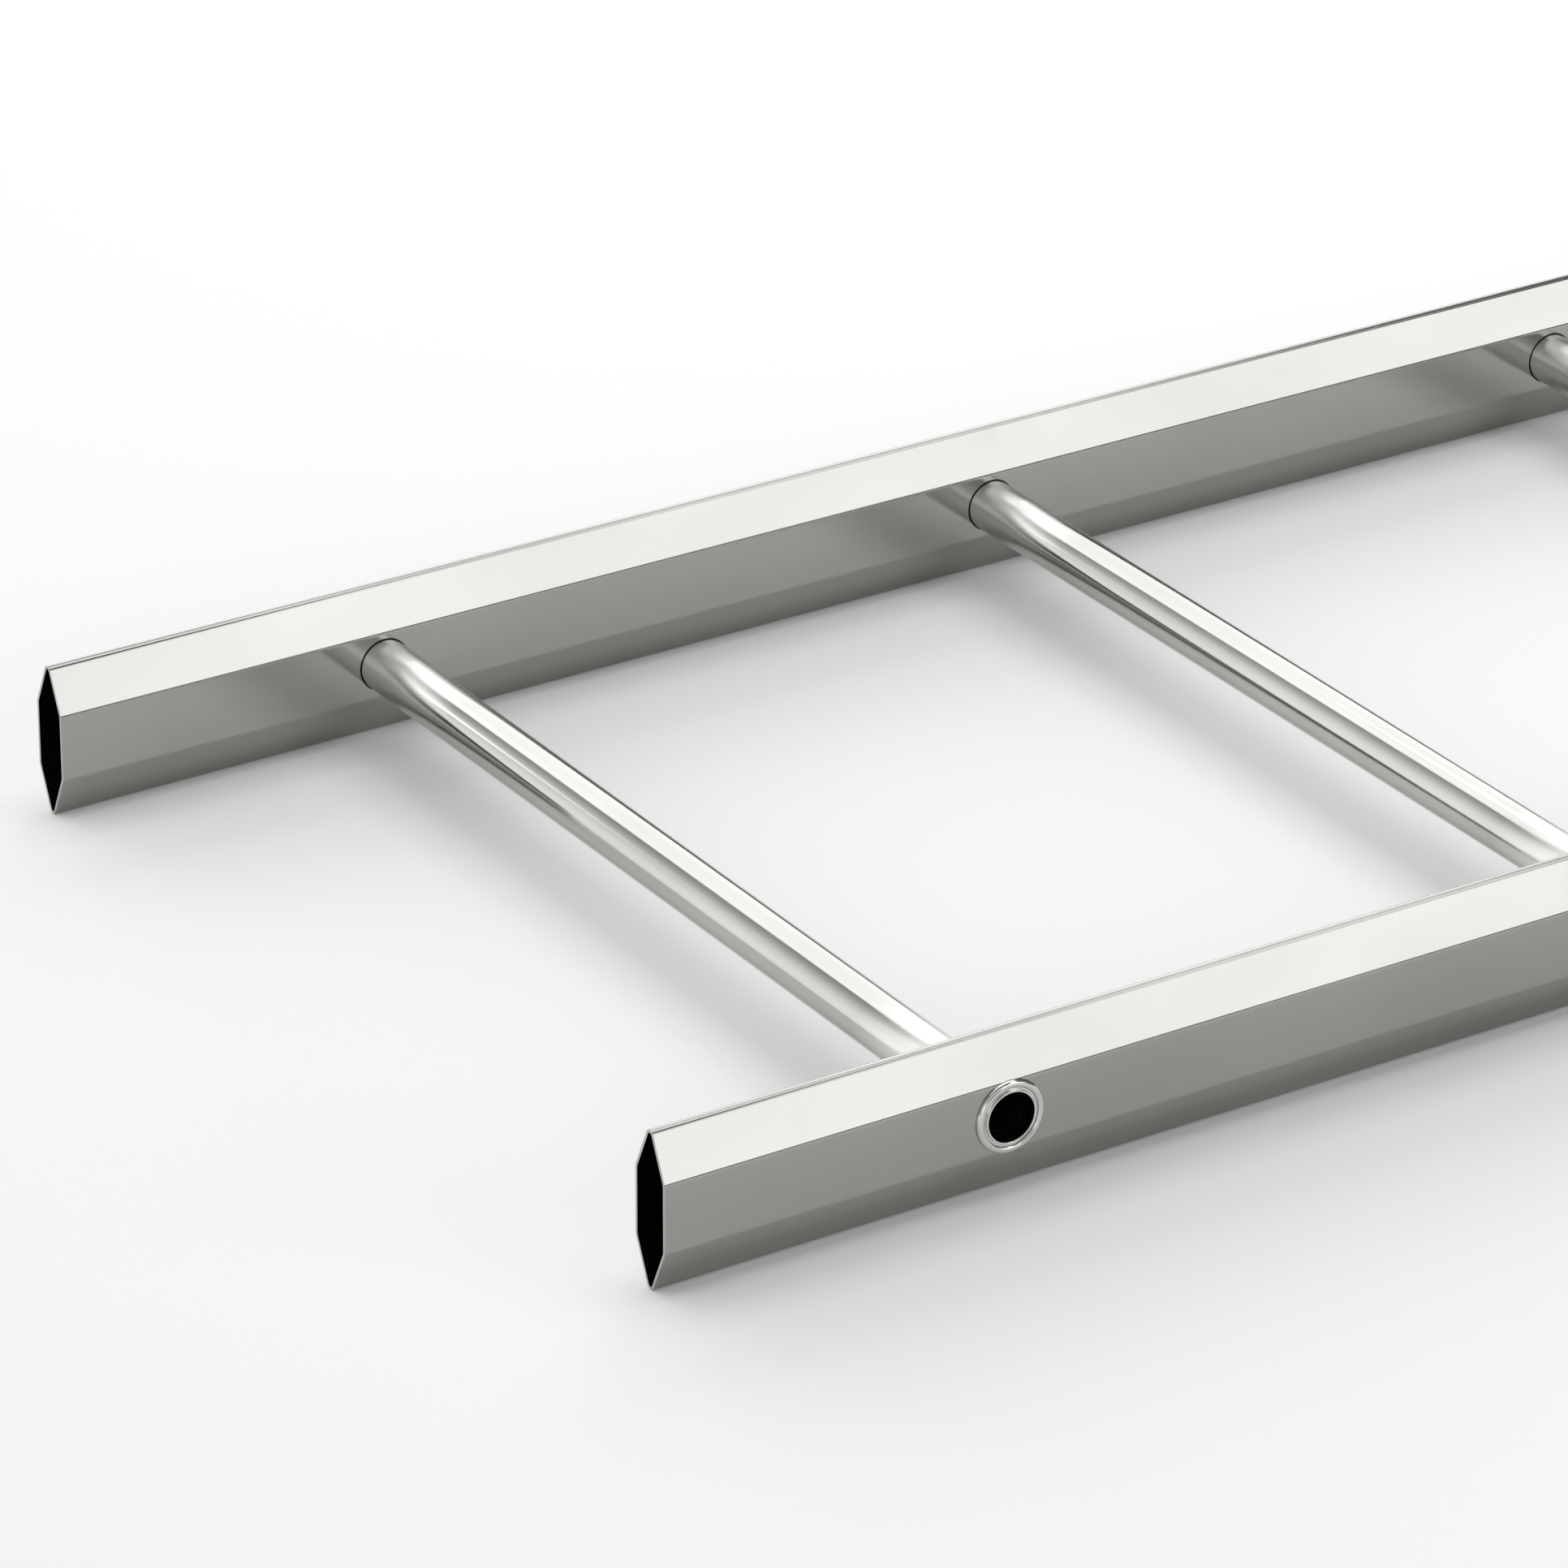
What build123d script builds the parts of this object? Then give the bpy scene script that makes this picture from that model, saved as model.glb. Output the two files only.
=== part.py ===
from build123d import *
import math
import os

# Cable ladder section in stainless steel, in millimetres.
# X runs along the ladder, Y across it and Z up. The origin is under the middle of the section.

# The section as a whole
ladder_length = 3000.0
ladder_width = 400.0
rung_pitch = 250.0

# Side rail: a hollow hexagon standing on a tip, with upright webs
rail_width = 16.8
rail_height = 55.0
rail_web_height = 23.7
rail_tip_radius = 2.0
rail_bend_radius = 3.2
rail_wall = 1.0

# Rung: a tube, round at the rails and pressed to an oval between them
rung_radius = 9.3
rung_wall = 0.8
rung_oval_width = 20.2
rung_oval_height = 17.0
rung_round_run = 20.0
rung_press_run = 25.0
press_steps = 3

# Rung end: the tube stands out of the outer web as a short spigot behind an upset bead
spigot_height = 1.3
spigot_chamfer = 0.3
bead_radius = 12.6
bead_height = 1.4
bead_crest_radius = 11.1
bead_root_radius = 10.0
bead_root_height = 0.55

# Clearances of the rung in the rail's two holes
outer_hole_clearance = 0.05
inner_hole_clearance = 0.4

# Places worked out from the sizes above
rung_count = int(ladder_length // rung_pitch)
rung_axis_height = rail_height / 2
rail_offset = (ladder_width - rail_width) / 2
web_plane = ladder_width / 2
round_start = web_plane - rail_width - rung_round_run
press_start = round_start - rung_press_run


def rail_outline():
    """Outer face of the rail's section: a hexagon whose rounded tips reach the rail's height."""
    half_width = rail_width / 2
    half_web = rail_web_height / 2
    tip_centre = rail_height / 2 - rail_tip_radius
    rise = tip_centre - half_web
    reach = math.hypot(half_width, rise)
    lean = math.atan2(half_width, rise) - math.asin(rail_tip_radius / reach)
    apex = half_web + half_width / math.tan(lean)
    corners = [
        (half_width, half_web),
        (0, apex),
        (-half_width, half_web),
        (-half_width, -half_web),
        (0, -apex),
        (half_width, -half_web),
    ]
    hexagon = make_face(Polyline(*corners, close=True))
    rows = hexagon.vertices().group_by(Axis.Y)
    hexagon = fillet(rows[0] + rows[-1], rail_tip_radius)
    bends = [v for v in hexagon.vertices() if abs(abs(v.X) - half_width) < rail_wall / 10]
    return fillet(bends, rail_bend_radius)


def rung_places():
    """Distances of the rungs along the ladder, centred on its middle."""
    first = -rung_pitch * (rung_count - 1) / 2
    return [first + rung_pitch * index for index in range(rung_count)]


def rung_holes(side):
    """Drills for one rail: a close hole in the outer web and an easier one in the inner web."""
    close = Pos(0, 0, rail_width / 2) * Cylinder(rung_radius + outer_hole_clearance, rail_width)
    easy = Pos(0, 0, -rail_width / 2) * Cylinder(rung_radius + inner_hole_clearance, rail_width)
    drill = Rot(-90 * side, 0, 0) * (close + easy)
    return [Pos(x, side * rail_offset, rung_axis_height) * drill for x in rung_places()]


def side_rail(side):
    """One rail, on the side that the sign of Y gives."""
    outline = rail_outline()
    section = outline - offset(outline, amount=-rail_wall, kind=Kind.INTERSECTION)
    place = Plane.YZ.offset(-ladder_length / 2)
    tube = extrude(place * section, ladder_length)
    tube = Pos(0, side * rail_offset, rung_axis_height) * tube
    return tube - rung_holes(side)


def oval(half_width, half_height, distance):
    """An oval outline square to the rung's axis, which is Z while the rung is made."""
    return Plane.XY.offset(distance) * Ellipse(half_width, half_height)


def pressed_bar(inset):
    """The rung between its round ends, as a solid bar that is smaller all round by inset."""
    round_half = rung_radius - inset
    width_half = rung_oval_width / 2 - inset
    height_half = rung_oval_height / 2 - inset
    shapes = []
    for step in range(press_steps + 1):
        way = step / press_steps
        pressed = 1 - (1 - way) ** 2
        shapes.append(
            oval(
                round_half + (width_half - round_half) * pressed,
                round_half + (height_half - round_half) * pressed,
                round_start - rung_press_run * way,
            )
        )
    shoulder = loft(shapes, ruled=True)
    middle = extrude(oval(width_half, height_half, -press_start), 2 * press_start)
    return middle + shoulder + mirror(shoulder, Plane.XY)


def formed_end():
    """One round end of the rung: plain tube through the rail, then bead and spigot outside it."""
    bore = rung_radius - rung_wall
    lip = web_plane + spigot_height
    crest = web_plane + bead_height
    root = web_plane + bead_root_height
    tube = Polyline(
        (bead_root_radius, root),
        (rung_radius, root),
        (rung_radius, lip - spigot_chamfer),
        (rung_radius - spigot_chamfer, lip),
        (bore + spigot_chamfer, lip),
        (bore, lip - spigot_chamfer),
        (bore, round_start),
        (rung_radius, round_start),
        (rung_radius, web_plane),
        (bead_radius, web_plane),
    )
    brow_run = bead_radius - bead_crest_radius
    nape_run = bead_crest_radius - bead_root_radius
    brow = EllipticalCenterArc(
        (bead_crest_radius, web_plane), brow_run, bead_height, start_angle=0, arc_size=90
    )
    nape = EllipticalCenterArc(
        (bead_crest_radius, root), nape_run, crest - root, start_angle=90, arc_size=90
    )
    profile = make_face([tube, brow, nape])
    return revolve(Plane.XZ * profile, Axis.Z)


def rung():
    """One rung, lying along Y through the middle of the ladder."""
    end = formed_end()
    tube = pressed_bar(0) - pressed_bar(rung_wall) + end + mirror(end, Plane.XY)
    return Pos(0, 0, rung_axis_height) * Rot(90, 0, 0) * tube


os.makedirs("parts", exist_ok=True)
export_step(side_rail(-1), "parts/side_rail_near.step")
export_step(side_rail(1), "parts/side_rail_far.step")
plain_rung = rung()
for number, x in enumerate(rung_places(), start=1):
    export_step(Pos(x, 0, 0) * plain_rung, f"parts/rung_{number:02d}.step")
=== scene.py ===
import bpy
import math
from mathutils import Matrix, Vector


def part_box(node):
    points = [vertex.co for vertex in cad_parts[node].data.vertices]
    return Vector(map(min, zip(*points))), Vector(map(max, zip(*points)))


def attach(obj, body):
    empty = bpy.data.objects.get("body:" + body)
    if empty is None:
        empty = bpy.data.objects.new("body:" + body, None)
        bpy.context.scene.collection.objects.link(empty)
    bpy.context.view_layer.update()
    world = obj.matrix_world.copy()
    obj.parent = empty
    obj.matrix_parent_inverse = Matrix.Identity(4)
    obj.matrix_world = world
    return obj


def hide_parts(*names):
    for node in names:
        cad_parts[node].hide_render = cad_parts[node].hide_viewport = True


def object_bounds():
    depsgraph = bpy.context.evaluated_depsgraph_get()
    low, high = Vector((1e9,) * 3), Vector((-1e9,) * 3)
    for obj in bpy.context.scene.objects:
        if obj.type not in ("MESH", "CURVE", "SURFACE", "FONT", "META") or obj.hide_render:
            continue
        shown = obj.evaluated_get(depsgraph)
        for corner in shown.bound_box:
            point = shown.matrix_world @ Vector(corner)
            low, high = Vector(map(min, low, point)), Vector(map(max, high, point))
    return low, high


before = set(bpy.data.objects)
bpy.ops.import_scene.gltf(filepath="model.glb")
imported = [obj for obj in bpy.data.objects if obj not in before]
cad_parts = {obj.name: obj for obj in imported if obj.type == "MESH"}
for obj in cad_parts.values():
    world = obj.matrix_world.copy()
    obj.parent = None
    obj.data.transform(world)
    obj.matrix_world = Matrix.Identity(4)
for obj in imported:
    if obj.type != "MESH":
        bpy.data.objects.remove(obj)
cad_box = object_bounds()

# Sizes of the ladder section, in metres, in the frame's own axes
LENGTH = cad_box[1].x - cad_box[0].x
HEIGHT = cad_box[1].z - cad_box[0].z
RAIL_LOW, RAIL_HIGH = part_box("side_rail_near")
RAIL_WIDTH = RAIL_HIGH.y - RAIL_LOW.y
RAIL_Y = -(RAIL_HIGH.y + RAIL_LOW.y) / 2
OUTER_WEB = -RAIL_LOW.y
INNER_WEB = -RAIL_HIGH.y
AXIS_Z = HEIGHT / 2
RUNG_NODES = sorted(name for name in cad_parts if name.startswith("rung_"))
RUNG_X = [(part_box(name)[0].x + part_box(name)[1].x) / 2 for name in RUNG_NODES]
BEAD_RADIUS = (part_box(RUNG_NODES[0])[1].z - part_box(RUNG_NODES[0])[0].z) / 2

# Side rail section
WEB_HEIGHT = 0.0237
TIP_RADIUS = 0.0020
BEND_RADIUS = 0.0032
RAIL_WALL = 0.0010
CUT_EDGE = 0.00012
TIP_STEPS = 18
BEND_STEPS = 6
CUT_EDGE_STEPS = 2

# Rung between the rails
RUNG_RADIUS = 0.0093
RUNG_WALL = 0.0008
BORE_RADIUS = RUNG_RADIUS - RUNG_WALL
OVAL_WIDTH = 0.0202
OVAL_HEIGHT = 0.0170
ROUND_RUN = 0.0200
PRESS_RUN = 0.0250
PRESS_EASE = 0.0040
CREASE = 0.0005
ROUND_START = INNER_WEB - ROUND_RUN
PRESS_START = ROUND_START - PRESS_RUN
PRESS_STEPS = 12
RUNG_SIDES = 96

# Bead and spigot at the rung's end
SPIGOT_HEIGHT = 0.0013
LIP_RADIUS = 0.00028
BEAD_HEIGHT = 0.0014
CREST_RADIUS = 0.0111
ROOT_RADIUS = 0.0100
ROOT_HEIGHT = 0.00055
BROW_STEPS = 8
NAPE_STEPS = 6
LIP_STEPS = 4

# Holes for the rungs: close in the outer web, easy in the inner one
OUTER_HOLE = RUNG_RADIUS + 0.00005
INNER_HOLE = RUNG_RADIUS + 0.0004
DRILL_OVERRUN = 0.01
HOLE_SIDES = 96

# Edges and shading
CUT_ANGLE = math.radians(60)
RAIL_SMOOTH_ANGLE = math.radians(28)
RUNG_SMOOTH_ANGLE = math.radians(40)
FLAT_FACE_WEIGHT = 100
WELD_DISTANCE = 1e-6

# Steel: its plain tone, and how rough it is before lines and marks vary it
RAIL_TONE = (0.385, 0.385, 0.372)
RUNG_TONE = (0.45, 0.45, 0.436)
RAIL_SHEEN = 0.12
RUNG_SHEEN = 0.11

# Marks on the steel, in waves to the metre. Lines and streaks give theirs along the piece and across it
LINES = {"waves": (14, 5200), "detail": 2}
STREAKS = {"waves": (3, 420), "detail": 3}
GRIT = {"waves": (2600, 2600, 2600), "detail": 2}
CLOUDS = {"waves": (9, 16, 16), "detail": 2, "threshold": 0.3, "contrast": 2.5}
RUBBED = {"waves": (70, 70, 70), "detail": 4, "threshold": 0.6, "contrast": 7}
NOISE_MIDDLE = 0.5

# What the marks and the painted light do: shares of the plain tone, and what is added to the roughness
DARK_TONE = 0.91
LIGHT_TONE = 1.05
# Painted light: a lighter tone on the rungs' pressed and round ends that stands in for brighter reflections
# there
PAINTED_LIGHT_TONE = 1.38
FRESH_TONE = 1.4
CLOUD_SHARE = 0.7
LINE_HAZE = 0.05
RUB_HAZE = 0.03
FRESH_HAZE = 0.03
FORMED_HAZE = 0.19
# Where the pressed span's haze and painted light begin before the press, and how softly they fade in
HAZE_AND_PAINTED_LIGHT_LEAD = 0.012
HAZE_AND_PAINTED_LIGHT_FADE = 0.03
EDGE_FADE = 0.0003
RELIEF_STRENGTH = 0.06
RELIEF_DEPTH = 0.00003

# Floor and camera, which stands off from the near rail's left end
FLOOR_SIZE = 80
FLOOR_TONE = (0.93, 0.93, 0.925)
CAMERA_BEFORE = 1.1511
CAMERA_ASIDE = 1.8699
CAMERA_ABOVE = 1.2229
CAMERA_AZIMUTH = 32.658
CAMERA_TILT = 26.186
CAMERA_ROLL = 0.209
CAMERA_REACH = 200
FILM_WIDTH = 36
LENS_PIXELS = 10262.28
PHOTO_PIXELS = 1932

# Studio light
BACK_WALL_Y = 3.2
FRONT_WALL_Y = -3.4
CEILING = 2.6
BACK_LEVEL = 1.75
FRONT_LEVEL = 2.15
LEFT_LEVEL = 1.5
LEFT_HIGH_LEVEL = 0.95
LOW_LEVEL = 2.2
TOP_LEVEL = 1.5
OVERHEAD_LEVEL = 2.2
LEFT_OVERHEAD_LEVEL = 1.0
RIGHT_LEVEL = 1.7
ROOM_TONE = (1, 1, 0.985)
ROOM_LEVEL = 0.16
WINDOW_AZIMUTH = math.radians(-50)
WINDOW_ELEVATION = math.radians(14)
WINDOW_SPREAD = 3.2
WINDOW_GLOW = 1.5


def deselect_all():
    """Leaves nothing selected, so that the next operator acts on one object alone."""
    if bpy.context.object and bpy.context.object.mode != "OBJECT":
        bpy.ops.object.mode_set(mode="OBJECT")
    bpy.ops.object.select_all(action="DESELECT")


def take(piece):
    """Makes one object the only selected and the active one."""
    deselect_all()
    piece.select_set(True)
    bpy.context.view_layer.objects.active = piece


def named(name):
    """Names the object that an operator has just added, and returns it."""
    piece = bpy.context.object
    piece.name = name
    piece.data.name = name
    return piece


def settle(piece):
    """Puts the place and size of an object into its mesh, so that it sits at the origin."""
    take(piece)
    bpy.ops.object.transform_apply(location=True, rotation=True, scale=True)


def use_modifier(piece, kind, **settings):
    """Adds a modifier, sets it and applies it."""
    take(piece)
    modifier = piece.modifiers.new(kind.title(), kind)
    for key, value in settings.items():
        setattr(modifier, key, value)
    bpy.ops.object.modifier_apply(modifier=modifier.name)


def break_edges(piece):
    """Takes the burr off the sharp edges of a piece's cut ends."""
    take(piece)
    bpy.ops.object.mode_set(mode="EDIT")
    bpy.ops.mesh.select_mode(type="EDGE")
    bpy.ops.mesh.select_all(action="DESELECT")
    bpy.ops.mesh.edges_select_sharp(sharpness=CUT_ANGLE)
    bpy.ops.mesh.bevel(offset=CUT_EDGE, segments=CUT_EDGE_STEPS, affect="EDGES")
    bpy.ops.object.mode_set(mode="OBJECT")


def rail_lean():
    """Angle of the flanks from the upright, at which the rounded tips just reach the rail's height."""
    rise = HEIGHT / 2 - TIP_RADIUS - WEB_HEIGHT / 2
    half = RAIL_WIDTH / 2
    return math.atan2(half, rise) - math.asin(TIP_RADIUS / math.hypot(half, rise))


def rail_corners():
    """The rounded corners of the rail's section, walked round from the web on the +Y side.

    Each one is its centre's Y and Z, its radius, the directions in which its arc starts and ends, and
    its number of steps."""
    lean = rail_lean()
    bend_y = RAIL_WIDTH / 2 - BEND_RADIUS
    bend_z = WEB_HEIGHT / 2 - BEND_RADIUS * math.tan(lean / 2)
    tip_z = HEIGHT / 2 - TIP_RADIUS
    half_turn = math.pi
    return [
        (bend_y, bend_z, BEND_RADIUS, 0, lean, BEND_STEPS),
        (0, tip_z, TIP_RADIUS, lean, half_turn - lean, TIP_STEPS),
        (-bend_y, bend_z, BEND_RADIUS, half_turn - lean, half_turn, BEND_STEPS),
        (-bend_y, -bend_z, BEND_RADIUS, half_turn, half_turn + lean, BEND_STEPS),
        (0, -tip_z, TIP_RADIUS, half_turn + lean, 2 * half_turn - lean, TIP_STEPS),
        (bend_y, -bend_z, BEND_RADIUS, 2 * half_turn - lean, 2 * half_turn, BEND_STEPS),
    ]


def walk_outline():
    """Draws the rail's section as one closed line, corner by corner, from the point that is selected."""
    here = Vector((0, 0, 0))
    for centre_y, centre_z, radius, first, last, steps in rail_corners():
        centre = Vector((-LENGTH / 2, centre_y, centre_z))
        entry = centre + radius * Vector((0, math.cos(first), math.sin(first)))
        if here.length == 0:
            bpy.ops.transform.translate(value=entry)
        else:
            bpy.ops.mesh.extrude_region_move(TRANSFORM_OT_translate={"value": entry - here})
        bpy.ops.mesh.spin(steps=steps, angle=first - last, center=centre, axis=(1, 0, 0))
        here = centre + radius * Vector((0, math.cos(last), math.sin(last)))
    bpy.ops.mesh.select_all(action="SELECT")
    bpy.ops.mesh.edge_face_add()
    bpy.ops.mesh.delete(type="ONLY_FACE")


def rail_tube(name, side):
    """A rail's hollow hexagon, standing on a tip: its outline, drawn out along X and given its wall."""
    deselect_all()
    bpy.ops.mesh.primitive_plane_add()
    rail = named(name)
    bpy.ops.object.mode_set(mode="EDIT")
    bpy.ops.mesh.select_mode(type="VERT")
    bpy.ops.mesh.select_all(action="SELECT")
    bpy.ops.mesh.merge(type="CENTER")
    walk_outline()
    bpy.ops.mesh.select_all(action="SELECT")
    bpy.ops.mesh.extrude_region_move(TRANSFORM_OT_translate={"value": (LENGTH, 0, 0)})
    bpy.ops.mesh.select_all(action="SELECT")
    bpy.ops.mesh.normals_make_consistent(inside=False)
    bpy.ops.transform.translate(value=(0, side * RAIL_Y, AXIS_Z))
    bpy.ops.object.mode_set(mode="OBJECT")
    use_modifier(rail, "SOLIDIFY", thickness=RAIL_WALL, offset=-1, use_even_offset=True)
    return rail


def drill(name, radius, x, y_from, y_to):
    """A round cutter along Y for one hole."""
    deselect_all()
    bpy.ops.mesh.primitive_cylinder_add(
        vertices=HOLE_SIDES,
        radius=radius,
        depth=abs(y_to - y_from),
        location=(x, (y_from + y_to) / 2, AXIS_Z),
        rotation=(math.pi / 2, 0, 0),
    )
    cutter = named(name)
    settle(cutter)
    return cutter


def pierce(rail, side):
    """Cuts the rungs' holes through both webs of a rail: the outer close, the inner with a gap."""
    centre = side * RAIL_Y
    outside = side * (OUTER_WEB + DRILL_OVERRUN)
    inside = side * (INNER_WEB - DRILL_OVERRUN)
    cutters = []
    for x in RUNG_X:
        cutters.append(drill("close_hole", OUTER_HOLE, x, centre, outside))
        cutters.append(drill("easy_hole", INNER_HOLE, x, inside, centre))
    take(cutters[0])
    for cutter in cutters:
        cutter.select_set(True)
    bpy.ops.object.join()
    joined = bpy.context.object
    use_modifier(rail, "BOOLEAN", object=joined, operation="DIFFERENCE", solver="EXACT")
    bpy.data.objects.remove(joined)


def side_rail(name, node, side):
    """A finished rail, which stands for its node."""
    rail = rail_tube(name, side)
    break_edges(rail)
    pierce(rail, side)
    bpy.ops.object.shade_smooth_by_angle(angle=RAIL_SMOOTH_ANGLE)
    use_modifier(rail, "WEIGHTED_NORMAL", keep_sharp=True, weight=FLAT_FACE_WEIGHT)
    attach(rail, "root")
    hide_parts(node)
    return rail


def ring(place, radius):
    """A round ring of the rung: its distance from the middle, half width and half height."""
    return (place, radius, radius)


def quarter_turn(steps):
    """Angles from 0 to a right angle, both included."""
    return [math.pi / 2 * step / steps for step in range(steps + 1)]


def pressed_rings(inset, ways):
    """Rings of the pressed run, smaller all round by inset, at shares of the way towards the middle."""
    rings = []
    for way in ways:
        share = 1 - (1 - way) ** 2
        width = RUNG_RADIUS + (OVAL_WIDTH / 2 - RUNG_RADIUS) * share - inset
        height = RUNG_RADIUS + (OVAL_HEIGHT / 2 - RUNG_RADIUS) * share - inset
        rings.append((ROUND_START - PRESS_RUN * way, width, height))
    return rings


def bead_rings():
    """Rings of the bead: from its edge on the web over its brow, and down its nape to the spigot."""
    brow_run = BEAD_RADIUS - CREST_RADIUS
    nape_run = CREST_RADIUS - ROOT_RADIUS
    nape_rise = BEAD_HEIGHT - ROOT_HEIGHT
    root = OUTER_WEB + ROOT_HEIGHT
    rings = [ring(OUTER_WEB, BEAD_RADIUS)]
    for turn in quarter_turn(BROW_STEPS)[1:]:
        place = OUTER_WEB + BEAD_HEIGHT * math.sin(turn)
        rings.append(ring(place, CREST_RADIUS + brow_run * math.cos(turn)))
    for turn in reversed(quarter_turn(NAPE_STEPS)[:-1]):
        place = root + nape_rise * math.sin(turn)
        rings.append(ring(place, CREST_RADIUS - nape_run * math.cos(turn)))
    rings.append(ring(root, RUNG_RADIUS))
    return rings


def lip_rings():
    """Rings of the spigot's rounded lip, from its outside over its top into the bore."""
    lip = OUTER_WEB + SPIGOT_HEIGHT
    outer_half = []
    inner_half = []
    for turn in quarter_turn(LIP_STEPS):
        steep = LIP_RADIUS * (1 - math.sin(turn))
        shallow = LIP_RADIUS * (1 - math.cos(turn))
        outer_half.append(ring(lip - steep, RUNG_RADIUS - shallow))
        inner_half.append(ring(lip - shallow, BORE_RADIUS + steep))
    return outer_half + inner_half


def rung_rings():
    """Half of the rung as rings, each its distance from the middle, half width and half height.

    They run from the middle outwards along the outside, over the bead and the spigot's lip, and back
    through the bore to the middle."""
    ways = [0, CREASE / PRESS_RUN] + [step / PRESS_STEPS for step in range(1, PRESS_STEPS + 1)]
    rings = [(0, OVAL_WIDTH / 2, OVAL_HEIGHT / 2)]
    rings.append((PRESS_START - PRESS_EASE, OVAL_WIDTH / 2, OVAL_HEIGHT / 2))
    rings += pressed_rings(0, reversed(ways))
    rings.append(ring(ROUND_START + CREASE, RUNG_RADIUS))
    rings.append(ring(INNER_WEB, RUNG_RADIUS))
    rings.append(ring(OUTER_WEB, RUNG_RADIUS))
    rings += bead_rings()
    rings += lip_rings()
    rings.append(ring(ROUND_START + CREASE, BORE_RADIUS))
    rings += pressed_rings(RUNG_WALL, ways)
    rings.append((0, OVAL_WIDTH / 2 - RUNG_WALL, OVAL_HEIGHT / 2 - RUNG_WALL))
    return rings


def draw_through(rings):
    """Shapes the selected circle to the first ring and draws it out along Y through the others."""
    place, width, height = rings[0]
    bpy.ops.transform.resize(value=(width, 1, height), center_override=(0, 0, 0))
    for next_place, next_width, next_height in rings[1:]:
        bpy.ops.mesh.extrude_region_move(TRANSFORM_OT_translate={"value": (0, next_place - place, 0)})
        if (next_width, next_height) != (width, height):
            bpy.ops.transform.resize(
                value=(next_width / width, 1, next_height / height),
                center_override=(0, next_place, 0),
            )
        place, width, height = next_place, next_width, next_height


def first_rung(name):
    """One half of a rung, drawn out ring by ring from its middle, then mirrored to the other half."""
    deselect_all()
    bpy.ops.mesh.primitive_circle_add(vertices=RUNG_SIDES, radius=1, rotation=(math.pi / 2, 0, 0))
    rung = named(name)
    settle(rung)
    bpy.ops.object.mode_set(mode="EDIT")
    bpy.ops.mesh.select_all(action="SELECT")
    draw_through(rung_rings())
    bpy.ops.object.mode_set(mode="OBJECT")
    use_modifier(rung, "MIRROR", use_axis=(False, True, False), merge_threshold=WELD_DISTANCE)
    bpy.ops.object.mode_set(mode="EDIT")
    bpy.ops.mesh.select_all(action="SELECT")
    bpy.ops.mesh.remove_doubles(threshold=WELD_DISTANCE)
    bpy.ops.mesh.normals_make_consistent(inside=False)
    bpy.ops.transform.translate(value=(0, 0, AXIS_Z))
    bpy.ops.object.mode_set(mode="OBJECT")
    bpy.ops.object.shade_smooth_by_angle(angle=RUNG_SMOOTH_ANGLE)
    return rung


def all_rungs():
    """The rungs, each a copy of the first one with its own mesh, moved to its node's place."""
    model = first_rung("rung_tube_01")
    rungs = [model]
    for number in range(2, len(RUNG_X) + 1):
        take(model)
        bpy.ops.object.duplicate()
        rungs.append(named(f"rung_tube_{number:02d}"))
    for rung, node, x in zip(rungs, RUNG_NODES, RUNG_X):
        take(rung)
        rung.location.x = x
        settle(rung)
        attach(rung, "root")
        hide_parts(node)
    return rungs


class Shade:
    """One socket of a material or of the room. Arithmetic on it adds Math nodes."""

    def __init__(self, tree, socket=None):
        self.tree = tree
        self.socket = socket

    def node(self, kind, settings, inputs, output=0):
        """Any other node: its type, its settings, then the values or links of its sockets."""
        made = self.tree.nodes.new(kind)
        for name, value in settings.items():
            setattr(made, name, value)
        for name, value in inputs.items():
            if isinstance(value, Shade):
                self.tree.links.new(value.socket, made.inputs[name])
            else:
                made.inputs[name].default_value = value
        return Shade(self.tree, made.outputs[output])

    def math(self, operation, first, second=0, clamp=False):
        """One Math node on one or two values."""
        settings = {"operation": operation, "use_clamp": clamp}
        return self.node("ShaderNodeMath", settings, {0: first, 1: second})

    def __add__(self, other):
        return self.math("ADD", self, other)

    def __sub__(self, other):
        return self.math("SUBTRACT", self, other)

    def __rsub__(self, other):
        return self.math("SUBTRACT", other, self)

    def __mul__(self, other):
        return self.math("MULTIPLY", self, other)

    def __pow__(self, other):
        return self.math("POWER", self, other)

    def __rpow__(self, other):
        return self.math("POWER", other, self)

    __radd__ = __add__
    __rmul__ = __mul__

    def clamped(self):
        """The value held between 0 and 1."""
        return self.math("ADD", self, 0, clamp=True)

    def feed(self, shader, name):
        """Links the value into a socket of the finished shader."""
        self.tree.links.new(self.socket, shader.inputs[name])


def noise(place, waves, detail):
    """Soft noise from 0 to 1 with its own scale along each axis, in waves to the metre."""
    stretched = place.node("ShaderNodeMapping", {}, {"Vector": place, "Scale": waves})
    inputs = {"Vector": stretched, "Scale": 1, "Detail": detail}
    return place.node("ShaderNodeTexNoise", {}, inputs, "Fac")


def drawn_noise(place, lines_along, waves, detail):
    """Noise drawn out along one axis, from its waves along that axis and across it."""
    along, across = waves
    return noise(place, [along if axis == lines_along else across for axis in "XYZ"], detail)


def patches(place, waves, detail, threshold, contrast):
    """Soft patches: noise that rises from 0 to 1 above a threshold."""
    return ((noise(place, waves, detail) - threshold) * contrast).clamped()


def beyond(place, axis, distance, fade):
    """A mask that rises to 1 where the piece reaches further than a distance along an axis."""
    reach = place.math("ABSOLUTE", place.node("ShaderNodeSeparateXYZ", {}, {0: place}, axis))
    return ((reach - distance) * (1 / fade)).clamped()


def toned(tone, share):
    """A tone made darker or lighter, as a colour for a socket."""
    return [part * share for part in tone] + [1]


def blended(mask, under, over):
    """One colour laid over another where a mask is 1. Sockets 6 and 7 and output 2 are the colours'."""
    return mask.node("ShaderNodeMix", {"data_type": "RGBA"}, {0: mask, 6: under, 7: over}, 2)


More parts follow.
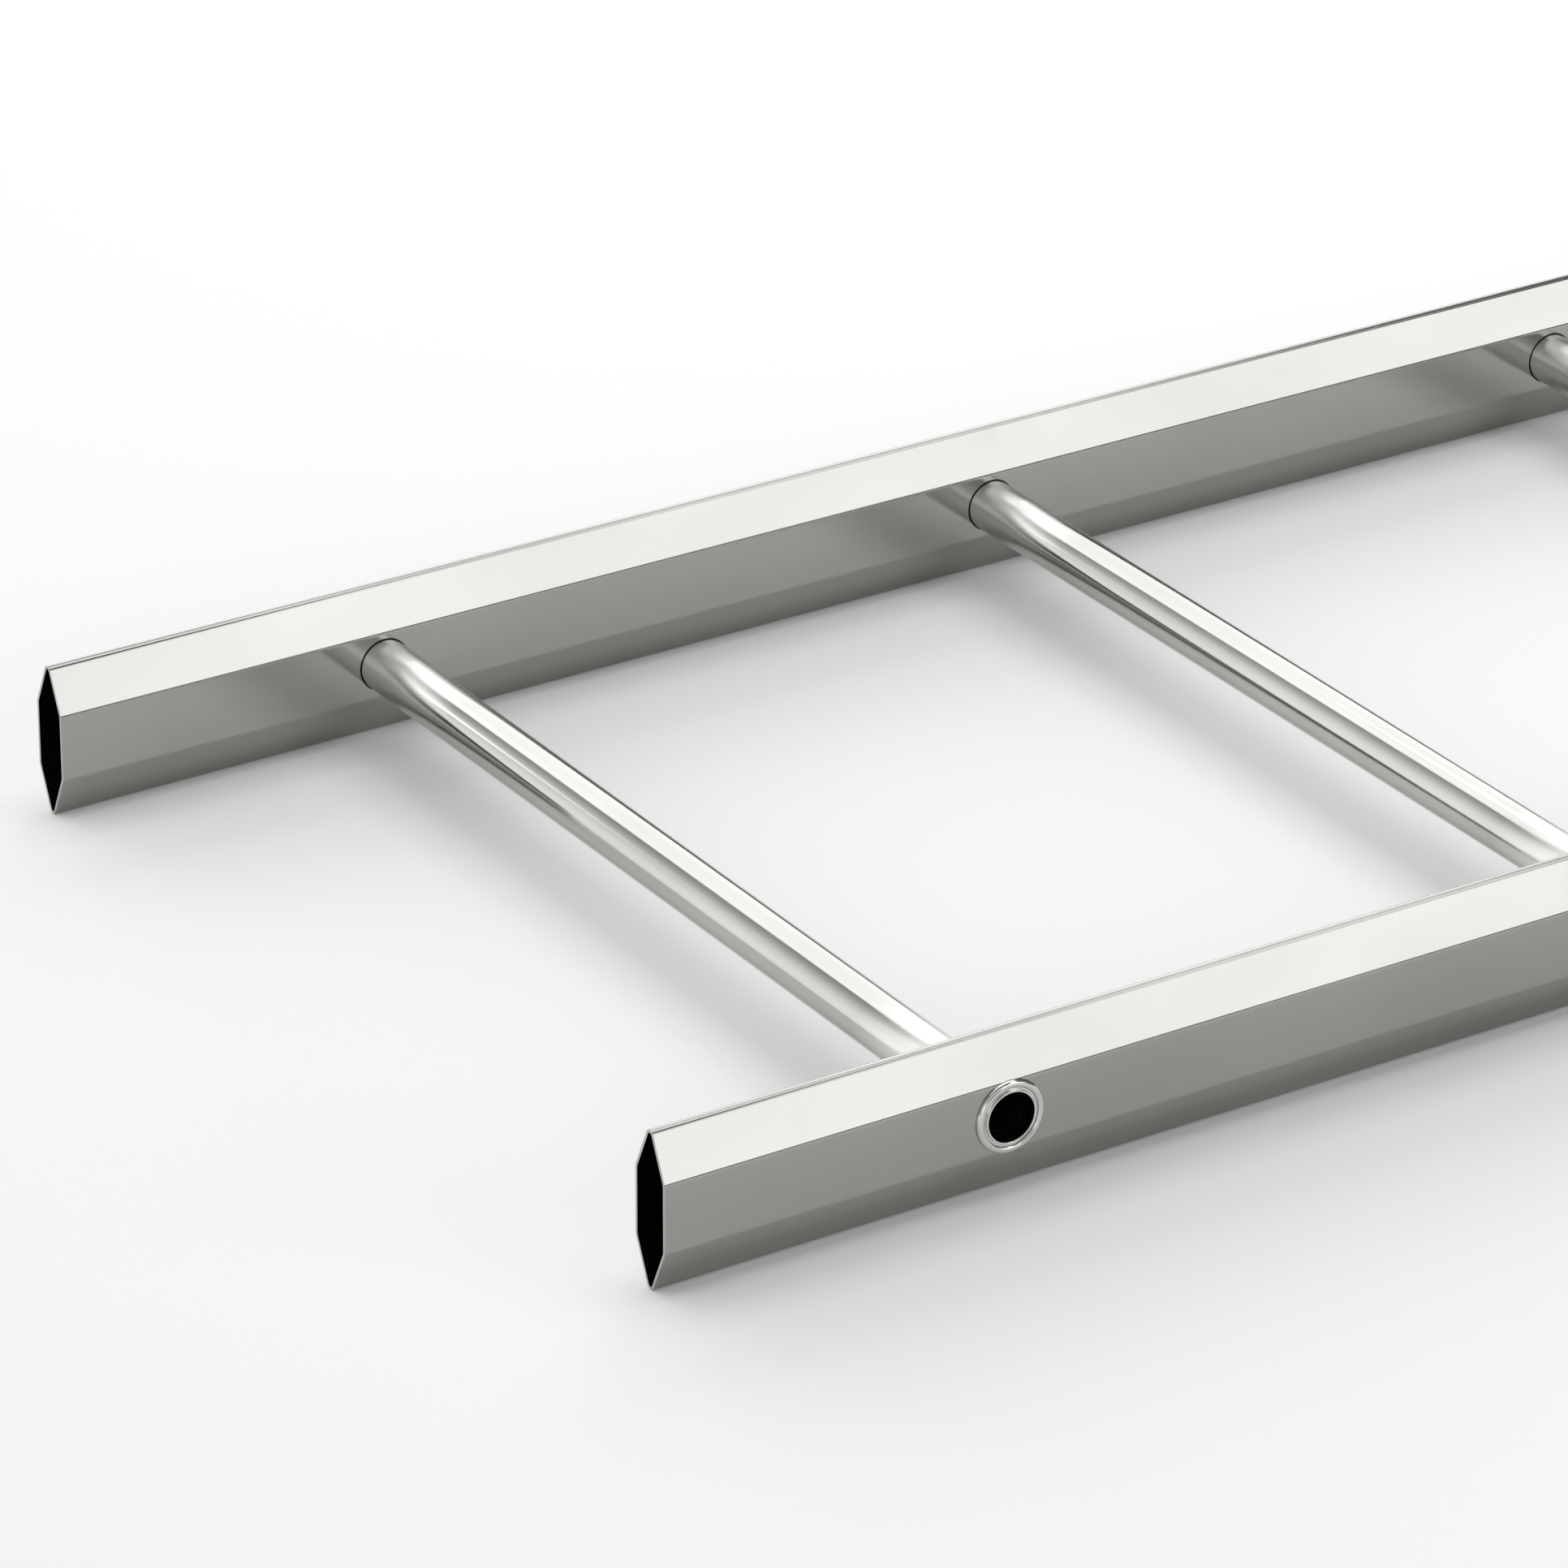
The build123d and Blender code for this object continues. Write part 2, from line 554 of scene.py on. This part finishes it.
def steel(name, tone, sheen, lines_along, fresh_from, haze_and_painted_light_span=None):
    """Bright steel: drawn lines along the piece, clouds in its tone, rubbed marks, and fresh metal beyond
    a distance from its middle. A span, where it is given, is hazier and has painted light: a lighter tone
    that stands in for brighter reflections there."""
    material = bpy.data.materials.new(name)
    material.use_nodes = True
    shader = material.node_tree.nodes["Principled BSDF"]
    place = Shade(material.node_tree).node("ShaderNodeTexCoord", {}, {}, "Object")
    lines = drawn_noise(place, lines_along, **LINES)
    streaks = drawn_noise(place, lines_along, **STREAKS)
    fresh = beyond(place, lines_along, fresh_from, EDGE_FADE)
    tint = (patches(place, **CLOUDS) * CLOUD_SHARE + streaks * (1 - CLOUD_SHARE)).clamped()
    colour = blended(tint, toned(tone, DARK_TONE), toned(tone, LIGHT_TONE))
    rough = sheen + (lines - NOISE_MIDDLE) * LINE_HAZE + (streaks - NOISE_MIDDLE) * LINE_HAZE
    rough = rough + patches(place, **RUBBED) * RUB_HAZE + fresh * FRESH_HAZE
    # Painted light: the span's tone is lightened to stand in for brighter reflections; its added roughness
    # is real haze
    if haze_and_painted_light_span:
        start, end = haze_and_painted_light_span
        past_end = beyond(place, lines_along, end, EDGE_FADE)
        haze_and_painted_light = beyond(place, lines_along, start, HAZE_AND_PAINTED_LIGHT_FADE) * (1 - past_end)
        colour = blended(haze_and_painted_light, colour, toned(tone, PAINTED_LIGHT_TONE))
        rough = rough + haze_and_painted_light * FORMED_HAZE
    blended(fresh, colour, toned(tone, FRESH_TONE)).feed(shader, "Base Color")
    rough.feed(shader, "Roughness")
    shader.inputs["Metallic"].default_value = 1
    height = lines + fresh * noise(place, **GRIT)
    inputs = {"Strength": RELIEF_STRENGTH, "Distance": RELIEF_DEPTH, "Height": height}
    place.node("ShaderNodeBump", {}, inputs, "Normal").feed(shader, "Normal")
    return material


def rail_steel():
    """The rails' strip: lines along X and fresh metal on the cut ends."""
    return steel("rail_steel", RAIL_TONE, RAIL_SHEEN, "X", LENGTH / 2 - CUT_EDGE)


def rung_steel():
    """The rungs' tube: lines along Y, hazier and with a painted lighter tone for brighter reflections where
    it is pressed and round, fresh metal on the beads.
    """
    haze_and_painted_light_span = (PRESS_START - HAZE_AND_PAINTED_LIGHT_LEAD, INNER_WEB)
    return steel("rung_steel", RUNG_TONE, RUNG_SHEEN, "Y", OUTER_WEB, haze_and_painted_light_span)


def dress(pieces, material):
    """Gives pieces one material."""
    for piece in pieces:
        piece.data.materials.clear()
        piece.data.materials.append(material)


def plain_floor():
    """A pale matt floor at the level of the rails' lower tips."""
    deselect_all()
    bpy.ops.mesh.primitive_plane_add(size=FLOOR_SIZE)
    floor = named("floor")
    material = bpy.data.materials.new("pale_floor")
    material.use_nodes = True
    shader = material.node_tree.nodes["Principled BSDF"]
    shader.inputs["Base Color"].default_value = toned(FLOOR_TONE, 1)
    shader.inputs["Roughness"].default_value = 1
    shader.inputs["Specular IOR Level"].default_value = 0
    floor.data.materials.append(material)


def camera():
    """The photograph's view: a long lens, looking down along the ladder from its near left side."""
    azimuth, tilt, roll = (math.radians(angle) for angle in (CAMERA_AZIMUTH, CAMERA_TILT, CAMERA_ROLL))
    level = math.cos(tilt)
    forward = Vector((math.sin(azimuth) * level, math.cos(azimuth) * level, -math.sin(tilt)))
    aside = forward.cross(Vector((0, 0, 1))).normalized()
    above = aside.cross(forward)
    right = aside * math.cos(roll) + above * math.sin(roll)
    up = above * math.cos(roll) - aside * math.sin(roll)
    data = bpy.data.cameras.new("camera")
    data.sensor_width = FILM_WIDTH
    data.lens = FILM_WIDTH * LENS_PIXELS / PHOTO_PIXELS
    data.clip_end = CAMERA_REACH
    view = bpy.data.objects.new("camera", data)
    bpy.context.scene.collection.objects.link(view)
    view.matrix_world = Matrix((right, up, -forward)).transposed().to_4x4()
    view.location = (-LENGTH / 2 - CAMERA_BEFORE, -RAIL_Y - CAMERA_ASIDE, AXIS_Z + CAMERA_ABOVE)
    bpy.context.scene.camera = view


def glow_world():
    """A dim grey room that brightens softly towards a window at the back left."""
    world = bpy.data.worlds.new("studio")
    world.use_nodes = True
    bpy.context.scene.world = world
    background = world.node_tree.nodes["Background"]
    level = math.cos(WINDOW_ELEVATION)
    window = (math.sin(WINDOW_AZIMUTH) * level, math.cos(WINDOW_AZIMUTH) * level, math.sin(WINDOW_ELEVATION))
    look = Shade(world.node_tree).node("ShaderNodeTexCoord", {}, {}, "Generated")
    facing = look.node("ShaderNodeVectorMath", {"operation": "DOT_PRODUCT"}, {0: look, 1: window}, "Value")
    glow = facing.clamped() ** WINDOW_SPREAD * WINDOW_GLOW + ROOM_LEVEL
    background.inputs["Color"].default_value = toned(ROOM_TONE, 1)
    glow.feed(background, "Strength")


def soft_box(name, place, target, size, level):
    """A flat soft lamp at a place, facing a target. Its face shows the brightness that level gives."""
    data = bpy.data.lights.new(name, "AREA")
    data.shape = "RECTANGLE"
    data.size, data.size_y = size
    data.energy = level * math.pi * size[0] * size[1]
    lamp = bpy.data.objects.new(name, data)
    bpy.context.scene.collection.objects.link(lamp)
    lamp.location = place
    lamp.rotation_euler = (Vector(target) - Vector(place)).to_track_quat("-Z", "Y").to_euler()
    lamp.visible_camera = False


def wall_light(name, x, y, z, size, level):
    """A soft box that stands upright behind or before the ladder and faces it along Y."""
    soft_box(name, (x, y, z), (x, 0, z), size, level)


def ceiling_light(name, x, y, size, level):
    """A soft box at the ceiling that faces straight down."""
    soft_box(name, (x, y, CEILING), (x, y, 0), size, level)


def lights():
    """Plain soft studio light: walls of light behind, in front and at the left, and boxes overhead."""
    glow_world()
    wall_light("back_wall", x=2.1, y=BACK_WALL_Y, z=1.9, size=(6.5, 3.4), level=BACK_LEVEL)
    soft_box("low_box", place=(-1.74, 5.5, 2.2), target=(-1.5, 0, 0), size=(3.8, 2.6), level=LOW_LEVEL)
    ceiling_light("top_box", x=-0.75, y=0.8, size=(2.9, 1.1), level=TOP_LEVEL)
    ceiling_light("overhead_box", x=-0.78, y=-0.28, size=(1.35, 0.85), level=OVERHEAD_LEVEL)
    ceiling_light("left_overhead_box", x=-2.28, y=-0.28, size=(1.65, 0.85), level=LEFT_OVERHEAD_LEVEL)
    ceiling_light("right_box", x=0.28, y=-0.6, size=(0.75, 1.1), level=RIGHT_LEVEL)
    for y in (-2.05, 2.05):
        ceiling_light("side_box", x=0.72, y=y, size=(0.9, 1.8), level=RIGHT_LEVEL)
    wall_light("front_wall", x=1.2, y=FRONT_WALL_Y, z=1.15, size=(3.6, 1.2), level=FRONT_LEVEL)
    wall_light("front_high_box", x=1.1, y=FRONT_WALL_Y, z=2.35, size=(1.5, 1.1), level=RIGHT_LEVEL)
    wall_light("left_wall", x=-4.2, y=FRONT_WALL_Y, z=1.0, size=(2.8, 1.9), level=LEFT_LEVEL)
    wall_light("left_high_box", x=-1.95, y=FRONT_WALL_Y, z=2.15, size=(3.3, 1.7), level=LEFT_HIGH_LEVEL)


camera()
near_rail = side_rail("near_rail", "side_rail_near", -1)
far_rail = side_rail("far_rail", "side_rail_far", 1)
rungs = all_rungs()
dress([near_rail, far_rail], rail_steel())
dress(rungs, rung_steel())
plain_floor()
lights()
bpy.context.scene.view_settings.view_transform = "Standard"
